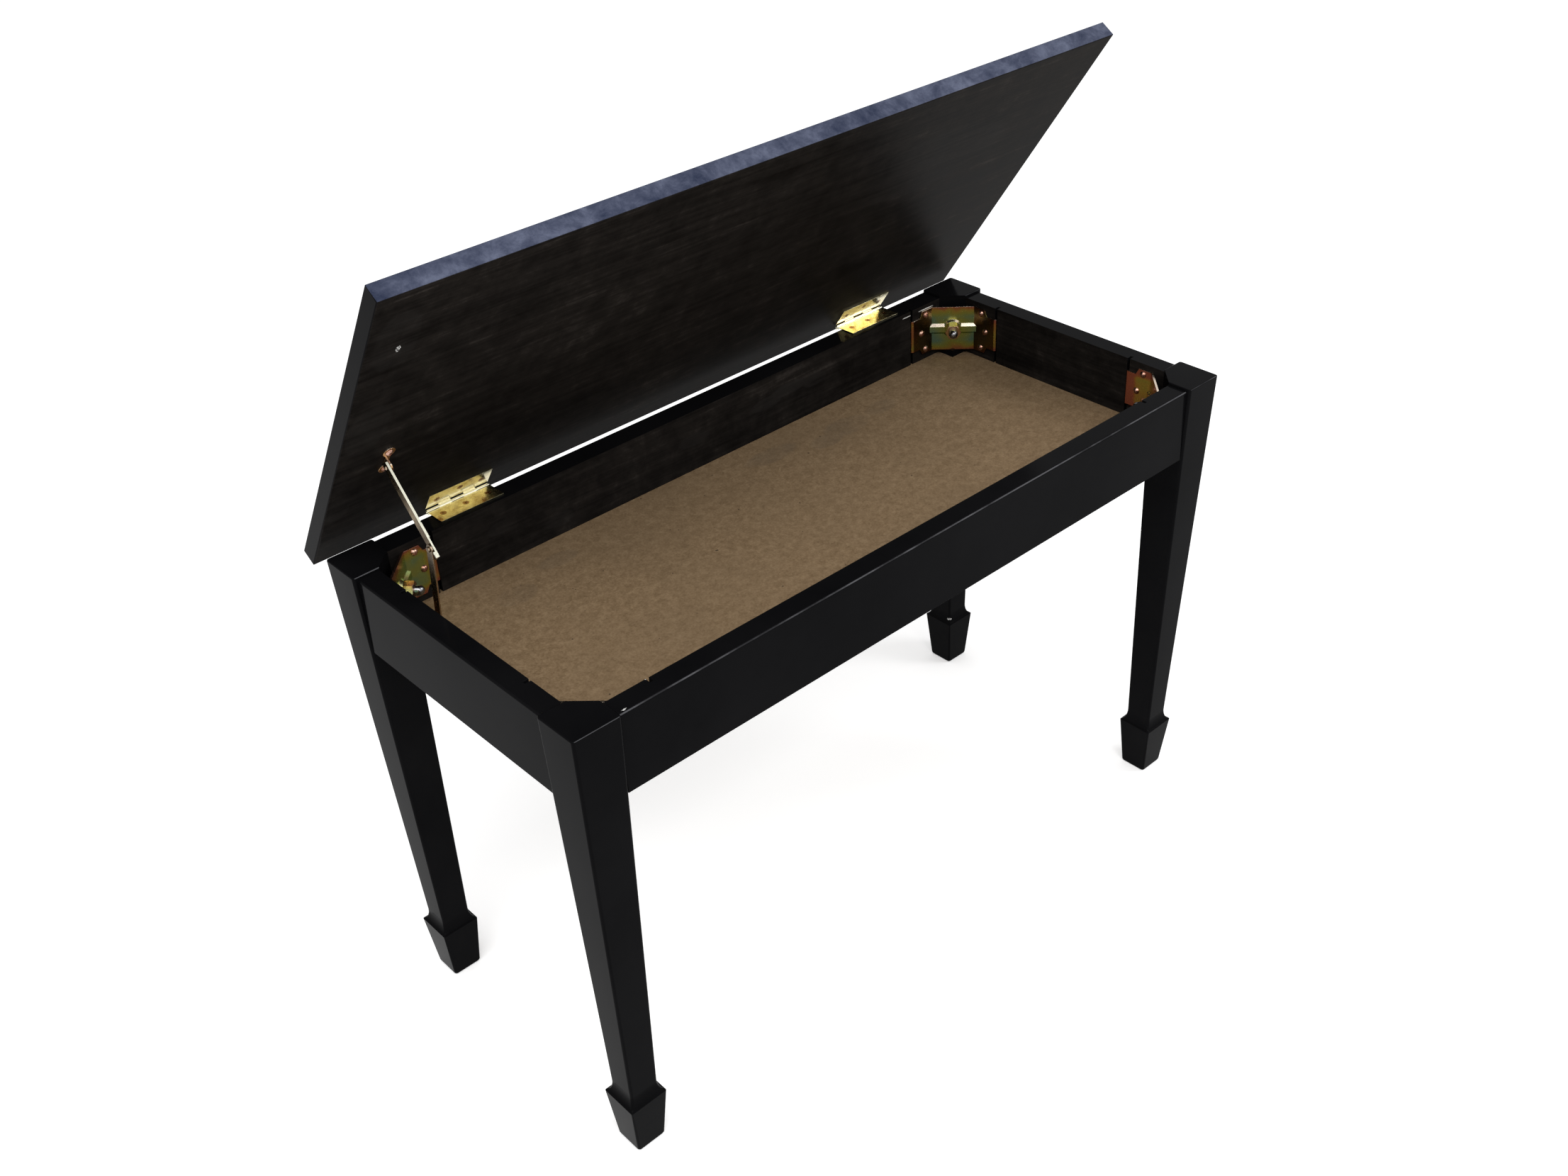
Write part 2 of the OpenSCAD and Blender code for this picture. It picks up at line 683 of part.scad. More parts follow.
module hinge_frame_leaf_left() { hinge_frame_leaf(-1); }
module hinge_frame_leaf_right() { hinge_frame_leaf(1); }
module hinge_lid_leaf_left() { hinge_lid_leaf(-1); }
module hinge_lid_leaf_right() { hinge_lid_leaf(1); }
module hinge_pin_left() { hinge_pin(-1); }
module hinge_pin_right() { hinge_pin(1); }

module hinge_frame_screws() {
    color(brass) bench() for (side = [-1, 1], x = leaf_screws)
        translate([side * hinge_x + x, hinge_y - leaf_screw_at, rail_top + leaf_t])
            flat_head_screw(hinge_screw_d, leaf_screw_r, lid_screw_depth);
}

module hinge_lid_screws() {
    color(brass) on_lid() for (side = [-1, 1], i = [0:2])
        translate([side * hinge_x + leaf_screws[i], -lid_screw_y(i), lid_lift - leaf_t])
            mirror([0, 0, 1]) flat_head_screw(hinge_screw_d, leaf_screw_r, lid_screw_depth);
}

// ---------------------------------------------------------------- lid stay

foot_screw_pitch = 30;

// Places a child modelled in the arms' plane: its x and y become y and z, z becomes x
module in_stay_plane(x, at, turn) {
    bench() translate([x, at[0], at[1]]) along_x() rotate(turn) children();
}

// Flat strip with round ends about its two pivots
module arm_strip(length) {
    translate([0, -arm_w / 2]) square([length, arm_w]);
    for (x = [0, length]) translate([x, 0]) circle(d = arm_w);
}

// Rivet through two sheets from z = 0: a round head on the near side, a flat one behind
module rivet(grip) {
    dome_r = (rivet_head_r * rivet_head_r + rivet_head_h * rivet_head_h) / (2 * rivet_head_h);
    cylinder(r = rivet_r, h = grip);
    translate([0, 0, grip]) intersection() {
        translate([0, 0, rivet_head_h - dome_r]) sphere(dome_r);
        cylinder(r = rivet_head_r, h = rivet_head_h);
    }
}

// Two-lobed plate under the lid with a tab turned down to carry the upper arm
module stay_lid_bracket() {
    tab_half = arm_w / 2 + 0.6;
    strip_w = 4;
    color(copper) on_lid() {
        difference() {
            translate([0, 0, lid_lift - stay_t]) linear_extrude(stay_t) {
                for (end = [-1, 1]) translate([lobe_x, -stay_reach + end * lobe_pitch / 2])
                    circle(lobe_r);
                translate([tab_x, -stay_reach - lobe_pitch / 2]) square([strip_w, lobe_pitch]);
            }
            for (end = [-1, 1])
                translate([lobe_x, -stay_reach + end * lobe_pitch / 2, lid_lift - stay_t - 1])
                    cylinder(d = stay_screw_d, h = stay_t + 2);
        }
        difference() {
            translate([tab_x, -stay_reach, lid_lift - stay_drop]) along_x()
                linear_extrude(stay_t) {
                    circle(tab_half);
                    translate([-tab_half, 0]) square([2 * tab_half, stay_drop - stay_t / 2]);
                }
            translate([tab_x - 1, -stay_reach, lid_lift - stay_drop]) along_x()
                cylinder(r = rivet_r, h = stay_t + 2);
        }
    }
}

module stay_lid_screws() {
    color(copper) on_lid() for (end = [-1, 1])
        translate([lobe_x, -stay_reach + end * lobe_pitch / 2, lid_lift - stay_t])
            mirror([0, 0, 1]) round_head_screw(stay_screw_d, stay_screw_head_r, 2.2, stay_screw_len);
}

module stay_lid_rivet() {
    grip = tab_x + stay_t - upper_arm_x + joint_gap;
    color(steel) on_lid() translate([tab_x + stay_t, -stay_reach, lid_lift - stay_drop])
        mirror([1, 0, 0]) along_x() rivet(grip);
}

// Angle-section arm: web in the stay's plane, flange along its front edge, stop past the elbow
module stay_upper_arm() {
    tail = 9;
    flange_top = 3;
    slit_at = 22;
    slit = 1;
    flange_end = 8;
    stop_at = 4;
    color(brass) in_stay_plane(upper_arm_x, stay_elbow, upper_arm_angle) {
        difference() {
            linear_extrude(stay_t) {
                arm_strip(upper_arm_len);
                translate([-tail, -arm_w / 2]) square([tail, arm_w]);
                translate([upper_arm_len, 0]) square([flange_top, arm_w / 2]);
            }
            translate([0, 0, -1]) cylinder(r = rivet_r, h = stay_t + 2);
            translate([upper_arm_len, 0, -1])
                cylinder(r = rivet_r + pivot_clearance, h = stay_t + 2);
        }
        translate([slit_at, arm_w / 2 - stay_t, 0])
            cube([upper_arm_len - slit_at + flange_top, stay_t, flange_w]);
        translate([flange_end, arm_w / 2 - stay_t, 0])
            cube([slit_at - slit - flange_end, stay_t, flange_w]);
        translate([-tail, arm_w / 2 - stay_t, -joint_gap - stay_t])
            cube([tail - stop_at, stay_t, joint_gap + 2 * stay_t]);
    }
}

module stay_elbow_rivet() {
    in_stay_plane(lower_arm_x - joint_gap, stay_elbow, 0)
        color(steel) {
            translate([0, 0, -rivet_head_h]) cylinder(r = rivet_head_r, h = rivet_head_h);
            rivet(2 * stay_t + 2 * joint_gap);
        }
}

module stay_lower_arm() {
    color(brass) in_stay_plane(lower_arm_x, stay_foot, lower_arm_angle) difference() {
        linear_extrude(stay_t) arm_strip(lower_arm_len);
        translate([0, 0, -1]) cylinder(r = rivet_r, h = stay_t + 2);
        translate([lower_arm_len, 0, -1]) cylinder(r = rivet_r + pivot_clearance, h = stay_t + 2);
    }
}

module stay_foot_rivet() {
    color(steel) in_stay_plane(lower_arm_x, stay_foot, 0) rivet(stay_t);
}

// Plate on the left rail, raised in the middle to the plane of the arms
module stay_frame_bracket() {
    rise = foot_plate_x + inner_x;
    flat = foot_screw_pitch + 10;
    seat = 14;
    slope = 5;
    height = 14;
    half = flat / 2;
    color(copper) bench() translate([-inner_x, stay_foot[0], stay_foot[1]]) difference() {
        translate([0, 0, -height / 2]) linear_extrude(height)
            polygon([[0, -half], [stay_t, -half], [stay_t, -seat / 2 - slope],
                [rise + stay_t, -seat / 2], [rise + stay_t, seat / 2], [stay_t, seat / 2 + slope],
                [stay_t, half], [0, half], [0, seat / 2 + slope - stay_t],
                [rise, seat / 2 - stay_t], [rise, -seat / 2 + stay_t],
                [0, -seat / 2 - slope + stay_t]]);
        for (end = [-1, 1]) translate([-1, end * foot_screw_pitch / 2, 0])
            along_x() cylinder(d = stay_screw_d, h = stay_t + 2);
    }
}

module stay_frame_screws() {
    color(copper) bench() for (end = [-1, 1])
        translate([-inner_x + stay_t, stay_foot[0] + end * foot_screw_pitch / 2, stay_foot[1]])
            along_x() round_head_screw(stay_screw_d, stay_screw_head_r, 2.2, stay_screw_len);
}

lid_panel();
front_rail();
rear_rail();
left_rail();
right_rail();
leg_front_left();
leg_front_right();
leg_rear_left();
leg_rear_right();
bottom_panel();
corner_bracket_front_left();
corner_bracket_front_right();
corner_bracket_rear_left();
corner_bracket_rear_right();
hanger_bolts();
hex_nuts();
bracket_screws();
hinge_frame_leaf_left();
hinge_frame_leaf_right();
hinge_lid_leaf_left();
hinge_lid_leaf_right();
hinge_pin_left();
hinge_pin_right();
hinge_frame_screws();
hinge_lid_screws();
stay_lid_bracket();
stay_lid_screws();
stay_lid_rivet();
stay_upper_arm();
stay_elbow_rivet();
stay_lower_arm();
stay_foot_rivet();
stay_frame_bracket();
stay_frame_screws();
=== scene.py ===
"""Looks of the piano bench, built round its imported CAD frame."""
import json
import math

import bmesh
import bpy
from mathutils import Matrix, Vector


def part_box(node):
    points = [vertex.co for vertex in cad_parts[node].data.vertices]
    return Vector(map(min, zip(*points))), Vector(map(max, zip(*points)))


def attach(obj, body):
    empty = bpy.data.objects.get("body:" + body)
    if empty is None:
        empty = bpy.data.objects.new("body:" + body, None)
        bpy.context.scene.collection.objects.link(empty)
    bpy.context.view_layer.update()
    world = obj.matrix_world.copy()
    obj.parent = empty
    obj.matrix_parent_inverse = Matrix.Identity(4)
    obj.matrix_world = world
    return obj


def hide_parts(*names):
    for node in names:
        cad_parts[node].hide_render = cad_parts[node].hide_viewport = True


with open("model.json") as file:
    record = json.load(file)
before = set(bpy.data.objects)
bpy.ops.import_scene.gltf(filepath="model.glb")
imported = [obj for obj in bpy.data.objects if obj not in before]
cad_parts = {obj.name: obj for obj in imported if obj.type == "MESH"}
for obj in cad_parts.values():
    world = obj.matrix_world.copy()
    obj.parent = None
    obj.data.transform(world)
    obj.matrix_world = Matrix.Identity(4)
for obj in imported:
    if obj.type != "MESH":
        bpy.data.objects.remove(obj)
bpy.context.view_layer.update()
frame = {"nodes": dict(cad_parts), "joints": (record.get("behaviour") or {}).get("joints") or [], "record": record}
nodes = frame["nodes"]

MM = 0.001
joints = {joint["name"]: joint for joint in frame["joints"]}
LID_OPEN = math.radians(joints["lid_hinge"]["range_deg"][1])
HINGE = Vector(joints["lid_hinge"]["pos_m"])
UNDER_LID = Vector((0, -math.sin(LID_OPEN), -math.cos(LID_OPEN)))   # out of the open lid's underside
LID_EDGE = UNDER_LID.cross(Vector((1, 0, 0)))                       # out of the open lid's front edge
BODIES = frame["record"]["behaviour"]["bodies"]
BODY_OF = {node: body for body, members in BODIES.items() for node in members}
CORNERS = ("front_left", "front_right", "rear_left", "rear_right")


def middle(name):
    """Middle of a CAD node's box."""
    low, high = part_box(name)
    return (low + high) / 2


def under_lid(x, reach):
    """Point on the underside of the open lid, at a distance from the hinge axis."""
    return Vector((x, HINGE.y - reach * math.cos(LID_OPEN), HINGE.z + reach * math.sin(LID_OPEN)))


# ---------------------------------------------------------------- shader helpers


class Shader:
    """A Principled material, with short calls for the nodes that feed it."""

    def __init__(self, name):
        self.material = bpy.data.materials.new(name)
        self.material.use_nodes = True
        self.tree = self.material.node_tree
        self.surface = self.tree.nodes["Principled BSDF"]
        coordinates = self.add("ShaderNodeTexCoord")
        self.place = coordinates.outputs["Object"]
        self.normal = coordinates.outputs["Normal"]

    def add(self, kind, **properties):
        """A new node of this kind, with its properties set."""
        made = self.tree.nodes.new(kind)
        for key, value in properties.items():
            setattr(made, key, value)
        return made

    def feed(self, socket, value):
        """Links an output to a socket, or sets a plain value on it."""
        if isinstance(value, bpy.types.NodeSocket):
            self.tree.links.new(value, socket)
        elif isinstance(value, tuple) and len(value) == 3 and socket.type == "RGBA":
            socket.default_value = (*value, 1)
        else:
            socket.default_value = value

    def set(self, **values):
        """Sets or links inputs of the surface, named with underscores."""
        for key, value in values.items():
            self.feed(self.surface.inputs[key.replace("_", " ")], value)

    def stretched(self, scale):
        """Place on the object, scaled along each axis."""
        node = self.add("ShaderNodeMapping")
        self.feed(node.inputs["Vector"], self.place)
        node.inputs["Scale"].default_value = scale
        return node.outputs["Vector"]

    def noise(self, scale, stretch=(1, 1, 1), detail=4.0, roughness=0.55, distortion=0.0):
        """Cloudy noise that is drawn out along the axes where the stretch is below 1."""
        node = self.add("ShaderNodeTexNoise")
        self.feed(node.inputs["Vector"], self.stretched(stretch))
        node.inputs["Scale"].default_value = scale
        node.inputs["Detail"].default_value = detail
        node.inputs["Roughness"].default_value = roughness
        node.inputs["Distortion"].default_value = distortion
        return node.outputs["Fac"]

    def cells(self, scale):
        """Distance to the nearest of many scattered points."""
        node = self.add("ShaderNodeTexVoronoi", feature="F1")
        self.feed(node.inputs["Vector"], self.place)
        node.inputs["Scale"].default_value = scale
        return node.outputs["Distance"]

    def maths(self, operation, a, b=0.0):
        """Result of one operation on two numbers or outputs."""
        node = self.add("ShaderNodeMath", operation=operation)
        self.feed(node.inputs[0], a)
        self.feed(node.inputs[1], b)
        return node.outputs[0]

    def sum(self, *shares):
        """Adds up (value, factor) pairs."""
        total = 0.0
        for value, factor in shares:
            total = self.maths("ADD", total, self.maths("MULTIPLY", value, factor))
        return total

    def span(self, value, low, high, out_low=0.0, out_high=1.0):
        """Maps low..high to out_low..out_high, and stops there."""
        node = self.add("ShaderNodeMapRange", clamp=True)
        for index, number in enumerate((value, low, high, out_low, out_high)):
            self.feed(node.inputs[index], number)
        return node.outputs["Result"]

    def ramp(self, value, *stops):
        """Colour ramp through (place, colour) stops."""
        node = self.add("ShaderNodeValToRGB")
        self.feed(node.inputs["Fac"], value)
        marks = node.color_ramp.elements
        while len(marks) < len(stops):
            marks.new(0.5)
        for mark, (at, colour) in zip(marks, stops):
            mark.position = at
            mark.color = (*colour, 1)
        return node.outputs["Color"]

    def mix(self, share, a, b):
        """Colour between a and b."""
        node = self.add("ShaderNodeMix", data_type="RGBA")
        self.feed(node.inputs[0], share)
        self.feed(node.inputs[6], a)
        self.feed(node.inputs[7], b)
        return node.outputs[2]

    def blend(self, share, a, b):
        """Number between a and b."""
        node = self.add("ShaderNodeMix", data_type="FLOAT")
        for index, value in ((0, share), (2, a), (3, b)):
            self.feed(node.inputs[index], value)
        return node.outputs[0]

    def facing(self, direction, low=0.5, high=0.8):
        """1 where the surface faces a direction of the object, 0 where it faces away."""
        node = self.add("ShaderNodeVectorMath", operation="DOT_PRODUCT")
        self.feed(node.inputs[0], self.normal)
        node.inputs[1].default_value = direction
        return self.span(node.outputs["Value"], low, high)

    def square_on(self):
        """1 where the surface faces along X or Y, 0 where it faces a diagonal between them."""
        node = self.add("ShaderNodeSeparateXYZ")
        self.feed(node.inputs[0], self.normal)
        product = self.maths("MULTIPLY", node.outputs["X"], node.outputs["Y"])
        return self.span(self.maths("ABSOLUTE", product), 0.05, 0.20, 1.0, 0.0)

    def height(self, level):
        """Height of the surface above a level."""
        node = self.add("ShaderNodeSeparateXYZ")
        self.feed(node.inputs[0], self.place)
        return self.maths("SUBTRACT", node.outputs["Z"], level)

    def near(self, point, size):
        """1 at a point of the object, falling to 0 at an ellipsoid of that size about it."""
        offset = self.add("ShaderNodeVectorMath", operation="SUBTRACT")
        self.feed(offset.inputs[0], self.place)
        offset.inputs[1].default_value = point
        scaled = self.add("ShaderNodeVectorMath", operation="DIVIDE")
        self.feed(scaled.inputs[0], offset.outputs["Vector"])
        scaled.inputs[1].default_value = size
        length = self.add("ShaderNodeVectorMath", operation="LENGTH")
        self.feed(length.inputs[0], scaled.outputs["Vector"])
        return self.span(length.outputs["Value"], 1.0, 0.0)

    def patches(self, places, texture, low, high):
        """Mask of broken patches about the given (point, size) places."""
        mask = 0.0
        for point, size in places:
            mask = self.maths("MAXIMUM", mask, self.near(point, size))
        return self.span(self.maths("MULTIPLY", self.span(mask, 0.0, 0.4), texture), low, high)

    def bump(self, height, strength, distance):
        """Roughens the surface by a height, without changing its shape."""
        node = self.add("ShaderNodeBump")
        node.inputs["Strength"].default_value = strength
        node.inputs["Distance"].default_value = distance
        self.feed(node.inputs["Height"], height)
        self.feed(self.surface.inputs["Normal"], node.outputs["Normal"])


# ---------------------------------------------------------------- wood

DRAWN_OUT = 0.045                                 # how far the grain is drawn out along the wood
ALONG = {"x": (DRAWN_OUT, 1, 1), "y": (1, DRAWN_OUT, 1), "z": (1, 1, DRAWN_OUT)}

# Lacquer outside and inside, and the painted reflection on the lid's front edge, each as (place, colour) stops
# from dark to light
BLACK = ((0.30, (0.0030, 0.0030, 0.0034)), (0.72, (0.0056, 0.0055, 0.0060)))
SATIN = ((0.40, (0.0046, 0.0040, 0.0037)), (0.48, (0.0092, 0.0081, 0.0074)),
         (0.55, (0.0150, 0.0129, 0.0115)), (0.62, (0.0330, 0.0285, 0.0255)))
# Painted slate-blue reflection on the lid's front edge
SLATE_REFLECTION = ((0.40, (0.022, 0.028, 0.052)), (0.50, (0.052, 0.060, 0.094)), (0.62, (0.105, 0.118, 0.170)))
CHIP = (0.62, 0.62, 0.60)                         # bare white where the lacquer is knocked off, and the white marks along the rails' edges
DUST = (0.019, 0.0175, 0.0165)
ARRIS_HIGHLIGHT = (0.075, 0.075, 0.080)                     # painted highlight along the front arrises
FRONT_ARRIS = (0, -math.sqrt(0.5), math.sqrt(0.5))  # the way in which a rounded front arris faces
ARRIS_LEVEL = 0.4                                 # height above which the arrises get the painted highlight, in metres

# Indices of refraction, picked low to match the photograph, where the black finish mirrors little
OUTER_IOR = 1.065
SEAT_IOR = 1.22
UNDER_LID_IOR = 1.046


def black_lacquer(name, grain, satin_side=None, chips=(), dust=(), painted_reflection_side=None,
                  inner_ior=OUTER_IOR, broken=0.46):
    """Black lacquer over open-grained wood: glossy outside, satin and browner on the inside.

    chips and dust are (point, size) places. A chip shows where the grit is above broken. painted_reflection_side
    is the way in which the edge with a painted slate-blue reflection faces, and the side opposite to satin_side is
    then the seat.
    """
    s = Shader(name)
    along = ALONG[grain]
    figure = s.noise(70, along, detail=8, roughness=0.70, distortion=0.9)
    streaks = s.noise(330, along, detail=5, roughness=0.66, distortion=0.4)
    mottle = s.noise(42, detail=7, roughness=0.74, distortion=0.3)
    clouds = s.noise(7, detail=4, roughness=0.6)
    grit = s.noise(900, detail=3)
    colour = s.ramp(clouds, *BLACK)
    # Painted highlight along the rounded front arrises high up
    high_up = s.span(s.height(ARRIS_LEVEL), 0.0, 0.02)
    arris = s.maths("MULTIPLY", s.facing(FRONT_ARRIS, 0.93, 0.99), high_up)
    arris = s.maths("MULTIPLY", arris, s.span(s.noise(30, detail=5), 0.40, 0.58, 0.25, 1.0))
    colour = s.mix(arris, colour, ARRIS_HIGHLIGHT)
    # Painted slate-blue reflection on the edge that faces this side
    if painted_reflection_side is not None:
        painted_reflection = s.ramp(s.sum((clouds, 0.45), (mottle, 0.55)), *SLATE_REFLECTION)
        colour = s.mix(s.facing(painted_reflection_side), colour, painted_reflection)
    rough = s.span(clouds, 0.3, 0.8, 0.10, 0.20)
    ior = OUTER_IOR
    relief = s.sum((streaks, 0.5), (clouds, 0.5))
    if satin_side is not None:
        inside = s.facing(satin_side)
        tone = s.sum((figure, 0.32), (streaks, 0.20), (mottle, 0.34), (clouds, 0.14))
        satin = s.ramp(tone, *SATIN)
        if dust:
            dusty = s.patches(dust, s.sum((figure, 0.6), (clouds, 0.4)), 0.40, 0.75)
            satin = s.mix(dusty, satin, DUST)
        colour = s.mix(inside, colour, satin)
        rough = s.blend(inside, rough, s.span(tone, 0.38, 0.66, 0.30, 0.44))
        ior = s.blend(inside, OUTER_IOR, inner_ior)
    if painted_reflection_side is not None:
        ior = s.blend(s.facing(-satin_side), ior, SEAT_IOR)
    if chips:
        colour = s.mix(s.patches(chips, grit, broken, broken + 0.06), colour, CHIP)
    s.set(Base_Color=colour, Roughness=rough, IOR=ior)
    s.bump(relief, 0.10, 0.0001)
    return s.material


FIBRES = ((0.39, (0.140, 0.090, 0.046)), (0.50, (0.190, 0.126, 0.068)), (0.61, (0.244, 0.168, 0.095)))
CLOUDED = (0.140, 0.095, 0.053)
SPECK = (0.060, 0.038, 0.022)
SMUDGE = (0.095, 0.075, 0.054)


def board_smudges():
    """Dusty smudges on the board: most of them before the right half of the rear rail."""
    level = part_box("bottom_panel")[1].z
    return [(Vector((x, y, level)), (wide, deep, 0.01)) for x, y, wide, deep in
            ((0.152, 0.087, 0.040, 0.022), (0.118, 0.080, 0.030, 0.016), (0.202, 0.090, 0.030, 0.016),
             (0.060, 0.098, 0.045, 0.018), (-0.247, 0.080, 0.030, 0.020), (-0.19, 0.10, 0.03, 0.015))]


def hardboard():
    """Bare tan hardboard: fine fibres, a few dark specks and dusty smudges."""
    s = Shader("hardboard")
    fibres = s.noise(520, detail=7, roughness=0.72)
    flakes = s.noise(140, detail=3, roughness=0.6, distortion=0.5)
    clouds = s.noise(8, detail=5, roughness=0.6)
    specks = s.cells(95)
    speck_size = s.span(s.noise(60), 0.44, 0.66, 0.0, 0.10)
    tone = s.sum((fibres, 0.65), (flakes, 0.35))
    cloudy = s.mix(s.span(clouds, 0.42, 0.72, 0.0, 0.35), s.ramp(tone, *FIBRES), CLOUDED)
    speckled = s.mix(s.maths("LESS_THAN", specks, speck_size), cloudy, SPECK)
    broken = s.sum((clouds, 0.4), (s.noise(45, detail=6, roughness=0.7), 0.6))
    dusty = s.patches(board_smudges(), broken, 0.34, 0.72)
    colour = s.mix(s.maths("MULTIPLY", dusty, 0.45), speckled, SMUDGE)
    s.set(Base_Color=colour, Roughness=s.span(fibres, 0.3, 0.7, 0.72, 0.9), Specular_IOR_Level=0.2)
    s.bump(tone, 0.3, 0.00015)
    return s.material


# ---------------------------------------------------------------- metal

# Colours of the zinc's film: red at the edges of a part, then gold, green and teal towards its middle
FILM = ((0.00, (0.50, 0.19, 0.15)), (0.12, (0.56, 0.28, 0.12)), (0.26, (0.56, 0.46, 0.12)),
        (0.42, (0.44, 0.52, 0.13)), (0.60, (0.34, 0.50, 0.24)), (0.76, (0.22, 0.44, 0.38)),
        (1.00, (0.26, 0.36, 0.42)))
COPPER = (0.66, 0.33, 0.18)
# Painted shade on faces square to X or Y, such as the brackets' flanges
SHADED_FILM = (0.090, 0.045, 0.022)
# Painted highlight on the top faces of the zinc parts
TOP_HIGHLIGHT_FILM = (0.68, 0.57, 0.46)
RIM_REACH = 62 * MM                               # from a bracket's corner by the leg to its lips' ends
BARREL_REACH = 5 * MM                             # from the hinge axis to past the knuckles
FAR = 10                                          # a size that takes in the whole bench


def yellow_zinc(name, shape, copper=0.0, shift=0.0, flange_shade=0.0, top_highlight=1.0, rim=None):
    """Iridescent yellow zinc: its film is red and gold at the edges and green to teal between.

    shape is the middle and the half height of the part, and rim the corner that its lips are far from.
    copper is the share of plain copper in the film. A shift above 0 moves the film towards teal, and one
    below 0 towards red. flange_shade darkens with painted shade what faces squarely along X or Y, and worn
    is the share of a painted highlight that pales the top faces.
    """
    s = Shader(name)
    centre, half = shape
    drift = s.noise(40, detail=2, roughness=0.45, distortion=0.5)
    fine = s.noise(500, detail=4, roughness=0.6)
    edge = s.span(s.maths("ABSOLUTE", s.height(centre.z)), 0.55 * half, half, 0.42 + shift, -0.30 + shift)
    away = s.span(s.near(centre, (half, half, half)), 0.0, 0.5, 0.22, 0.0)
    tone = s.sum((edge, 1.0), (away, 1.0), (s.span(drift, 0.38, 0.64, -0.06, 0.22), 1.0))
    if rim is not None:
        within = s.near(rim, (RIM_REACH, RIM_REACH, FAR))
        tone = s.sum((tone, 1.0), (s.span(within, 0.02, 0.14, -0.50, 0.0), 1.0))
    colour = s.mix(copper, s.ramp(tone, *FILM), COPPER)
    # Painted shade where the part faces squarely along X or Y
    colour = s.mix(s.maths("MULTIPLY", s.square_on(), flange_shade), colour, SHADED_FILM)
    # Painted highlight: the top faces are paled
    colour = s.mix(s.maths("MULTIPLY", s.facing((0, 0, 1), 0.35, 0.65), top_highlight), colour, TOP_HIGHLIGHT_FILM)
    s.set(Base_Color=colour, Metallic=1.0, Roughness=s.span(fine, 0.3, 0.7, 0.22, 0.28))
    s.bump(fine, 0.04, 0.00003)
    return s.material


def plated(name, bright, dull, rough_low=0.14, rough_high=0.28, dull_from=0.46, web=None, barrel=None):
    """Plated metal with duller drifts and faint rubbing.

    web is the colour of the painted shade on its flat left side, and barrel the colour of the painted
    highlight near the hinge axis.
    """
    s = Shader(name)
    rubbing = s.noise(420, detail=5, roughness=0.6)
    drift = s.noise(95, detail=3, roughness=0.6, distortion=0.4)
    colour = s.mix(s.span(drift, dull_from, dull_from + 0.2), bright, dull)
    if web is not None:
        # Painted shade on the flat left side
        web_shade = s.mix(s.span(drift, 0.4, 1.0), web, dull)
        colour = s.mix(s.facing((-1, 0, 0), 0.6, 0.95), colour, web_shade)
    if barrel is not None:
        # Painted highlight on the knuckles near the hinge axis
        about_axis = s.near(HINGE, (FAR, BARREL_REACH, BARREL_REACH))
        colour = s.mix(s.span(about_axis, 0.10, 0.20), colour, barrel)
    s.set(Base_Color=colour, Metallic=1.0, Roughness=s.span(rubbing, 0.35, 0.65, rough_low, rough_high))
    s.bump(rubbing, 0.08, 0.00005)
    return s.material


BRASS = (0.80, 0.73, 0.47)
DULL_BRASS = (0.56, 0.45, 0.20)
# Painted highlight on the hinge knuckles
BARREL_HIGHLIGHT = (0.98, 0.94, 0.76)
CREAM = (0.74, 0.73, 0.60)
BUFF = (0.46, 0.36, 0.26)
TAN = (0.30, 0.23, 0.13)
# Painted shade on the stay arms' flat left sides
UPPER_WEB_SHADE = (0.082, 0.052, 0.022)
LOWER_WEB_SHADE = (0.085, 0.060, 0.034)
BRONZE = (0.40, 0.24, 0.10)
STEEL = (0.24, 0.24, 0.25)
DULL_STEEL = (0.14, 0.135, 0.13)
SCREW_COPPER = (0.50, 0.30, 0.23)
SCREW_BROWN = (0.20, 0.085, 0.05)


# ---------------------------------------------------------------- places of wear, as (point, size)

SHOULDER = 62 * MM                                # height of the spade feet's upper corners


def leg_chips(corner):
    """White chips on the upper corner of a spade foot, on the side that shows."""
    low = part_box("leg_" + corner)[0]
    return [(Vector((low.x + 6 * MM, low.y + 6 * MM, SHOULDER)), (4 * MM, 4 * MM, 3 * MM))]


def lid_scuffs():
    """White scratches on the underside of the lid."""
    return [(under_lid(-0.354, 0.311), (1.5 * MM, 3 * MM, 4 * MM)),
            (under_lid(-0.352, 0.280), (4 * MM, 6 * MM, 9 * MM)),
            (under_lid(-0.1785, 0.338), (6 * MM, 2 * MM, 3 * MM)),
            (under_lid(-0.1713, 0.350), (6 * MM, 2 * MM, 3 * MM))]


def white_edge_marks(rail):
    """White marks on the top edges of a rail and close below them, by the slots for the brackets."""
    low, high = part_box(rail)
    if rail == "rear_rail":
        level = high.z - 4.6 * MM
        return [(Vector((x, low.y, level)), (long, 0.7 * MM, 0.7 * MM)) for x, long in
                ((0.283, 0.009), (0.311, 0.014))]
    if rail == "right_rail":
        return [(Vector((low.x + 8 * MM, low.y, high.z)), (12 * MM, 1 * MM, 1 * MM))]
    if rail == "front_rail":
        return [(Vector((-0.291, high.y, high.z)), (3 * MM, 1.5 * MM, 1.5 * MM)),
                (Vector((-0.3246, low.y + 3 * MM, high.z)), (4 * MM, 1.2 * MM, 1 * MM))]
    return [(Vector((high.x, -0.098, high.z)), (1.5 * MM, 3 * MM, 1.5 * MM))]


def lid_dust():
    """Dusty patches on the underside of the lid."""
    return [(under_lid(-0.355, 0.29), (0.03, 0.05, 0.06)), (under_lid(-0.36, 0.18), (0.03, 0.04, 0.06)),
            (under_lid(-0.37, 0.07), (0.02, 0.02, 0.03)), (under_lid(0.20, 0.25), (0.15, 0.05, 0.07))]


